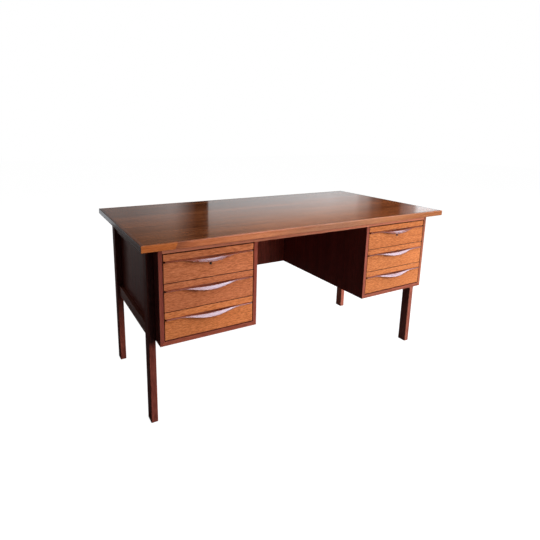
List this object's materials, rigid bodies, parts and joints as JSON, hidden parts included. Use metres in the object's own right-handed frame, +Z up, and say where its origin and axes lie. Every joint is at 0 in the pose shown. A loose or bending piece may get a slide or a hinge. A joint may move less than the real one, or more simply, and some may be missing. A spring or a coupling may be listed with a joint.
{
  "type": "double-sided desk",
  "caption": "Free-standing double-sided wooden desk with hanging drawer pedestals, carved lip pulls, lockable upper drawers, open book niches at the back and plank legs in end frames.",
  "frame": {"origin": "on the floor, under the middle of the desk", "axes": "+X along the desk's length to the sitter's right, +Y from the drawer side to the rear side, +Z up"},
  "size_m": [1.5, 0.74, 0.73],
  "materials": {
    "teak_top": "oiled and polished teak veneer, satin gloss, grain along the desk",
    "teak_lipping": "solid teak lipping, satin",
    "teak_frame": "dark red-brown solid wood, satin",
    "teak_carcass": "dark teak veneer with solid edges, satin",
    "teak_front": "warm orange-brown teak veneer, satin, grain level",
    "teak_pull": "carved solid teak, polished",
    "drawer_wood": "plain pale hardwood, planed",
    "plywood": "thin birch plywood",
    "beech": "planed beech",
    "brass": "aged brass",
    "steel": "dull zinc-plated steel"
  },
  "bodies": {
    "carcass": {"drawer_runners_left": "beech", "drawer_runners_right": "beech", "front_top_rail": "teak_carcass", "inner_side_left": "teak_carcass", "inner_side_right": "teak_carcass", "leg_front_left": "teak_frame", "leg_front_right": "teak_frame", "leg_rear_left": "teak_frame", "leg_rear_right": "teak_frame", "modesty_panel": "teak_carcass", "outer_side_left": "teak_carcass", "outer_side_right": "teak_carcass", "partition_left": "teak_carcass", "partition_right": "teak_carcass", "pedestal_bottom_left": "teak_carcass", "pedestal_bottom_right": "teak_carcass", "rear_shelf_left": "teak_carcass", "rear_shelf_right": "teak_carcass", "rear_top_rail_left": "teak_carcass", "rear_top_rail_right": "teak_carcass", "shelf_pins": "brass", "side_rail_lower_left": "teak_frame", "side_rail_lower_right": "teak_frame", "side_rail_upper_left": "teak_frame", "side_rail_upper_right": "teak_frame", "top_cleats": "beech", "top_lippings_ends": "teak_lipping", "top_lippings_long": "teak_lipping", "top_panel": "teak_top", "wood_screws": "steel"},
    "drawer_left_top": {"drawer_left_top_front": "teak_front", "drawer_left_top_pull": "teak_pull", "drawer_left_top_box": "drawer_wood", "drawer_left_top_bottom": "plywood", "keyhole_liner_left": "steel", "lock_case_left": "steel"},
    "drawer_left_middle": {"drawer_left_middle_front": "teak_front", "drawer_left_middle_pull": "teak_pull", "drawer_left_middle_box": "drawer_wood", "drawer_left_middle_bottom": "plywood"},
    "drawer_left_bottom": {"drawer_left_bottom_front": "teak_front", "drawer_left_bottom_pull": "teak_pull", "drawer_left_bottom_box": "drawer_wood", "drawer_left_bottom_bottom": "plywood"},
    "lock_bolt_left": {"lock_bolt_left": "steel"},
    "drawer_right_top": {"drawer_right_top_front": "teak_front", "drawer_right_top_pull": "teak_pull", "drawer_right_top_box": "drawer_wood", "drawer_right_top_bottom": "plywood", "keyhole_liner_right": "steel", "lock_case_right": "steel"},
    "drawer_right_middle": {"drawer_right_middle_front": "teak_front", "drawer_right_middle_pull": "teak_pull", "drawer_right_middle_box": "drawer_wood", "drawer_right_middle_bottom": "plywood"},
    "drawer_right_bottom": {"drawer_right_bottom_front": "teak_front", "drawer_right_bottom_pull": "teak_pull", "drawer_right_bottom_box": "drawer_wood", "drawer_right_bottom_bottom": "plywood"},
    "lock_bolt_right": {"lock_bolt_right": "steel"}
  },
  "joints": [
    {"name": "drawer_left_top_slide", "type": "slide", "parent": "carcass", "child": "drawer_left_top", "axis": [0, -1, 0], "range_m": [0, 0.33]},
    {"name": "drawer_left_middle_slide", "type": "slide", "parent": "carcass", "child": "drawer_left_middle", "axis": [0, -1, 0], "range_m": [0, 0.33]},
    {"name": "drawer_left_bottom_slide", "type": "slide", "parent": "carcass", "child": "drawer_left_bottom", "axis": [0, -1, 0], "range_m": [0, 0.33]},
    {"name": "lock_bolt_left_throw", "type": "slide", "parent": "drawer_left_top", "child": "lock_bolt_left", "axis": [0, 0, 1], "range_m": [0, 0.01]},
    {"name": "drawer_right_top_slide", "type": "slide", "parent": "carcass", "child": "drawer_right_top", "axis": [0, -1, 0], "range_m": [0, 0.33]},
    {"name": "drawer_right_middle_slide", "type": "slide", "parent": "carcass", "child": "drawer_right_middle", "axis": [0, -1, 0], "range_m": [0, 0.33]},
    {"name": "drawer_right_bottom_slide", "type": "slide", "parent": "carcass", "child": "drawer_right_bottom", "axis": [0, -1, 0], "range_m": [0, 0.33]},
    {"name": "lock_bolt_right_throw", "type": "slide", "parent": "drawer_right_top", "child": "lock_bolt_right", "axis": [0, 0, 1], "range_m": [0, 0.01]}
  ]
}
